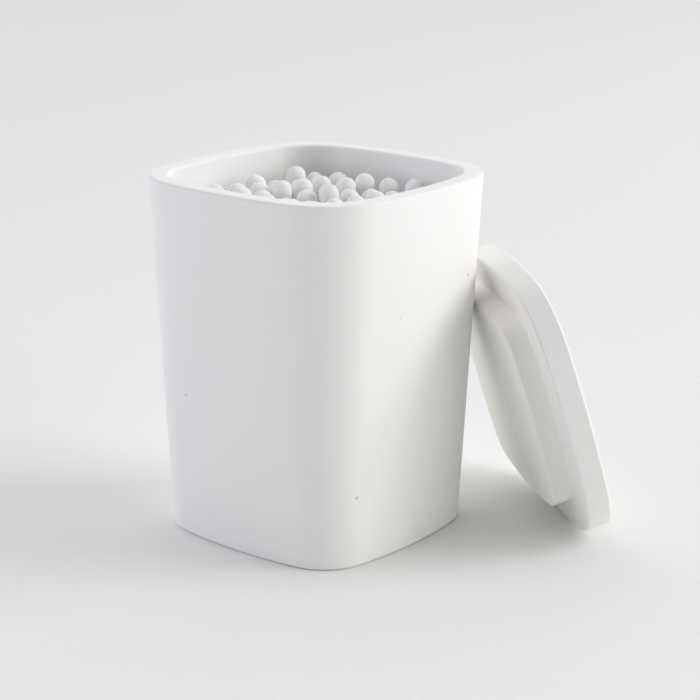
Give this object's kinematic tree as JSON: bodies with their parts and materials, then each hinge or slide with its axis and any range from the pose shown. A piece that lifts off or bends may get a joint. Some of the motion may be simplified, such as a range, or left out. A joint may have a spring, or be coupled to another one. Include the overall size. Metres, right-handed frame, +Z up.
{
  "type": "cotton swab case",
  "caption": "Matte white cast case with gently bulged sides and round corners, full of cotton swabs, its plug lid taken off and leaning on one corner.",
  "frame": {"origin": "middle of the case's foot, on the plane it stands on", "axes": "+Z up; +X and +Y through the middles of two sides, with the lid leaning on the corner between them"},
  "size_m": [0.1021, 0.0974, 0.086],
  "materials": {
    "resin": "cast, matte",
    "paper": "rolled, matte",
    "cotton": "wound fibre"
  },
  "bodies": {
    "root": {"case_body": "resin", "lid": "resin", "swab_sticks": "paper", "swab_tips": "cotton"}
  },
  "joints": []
}
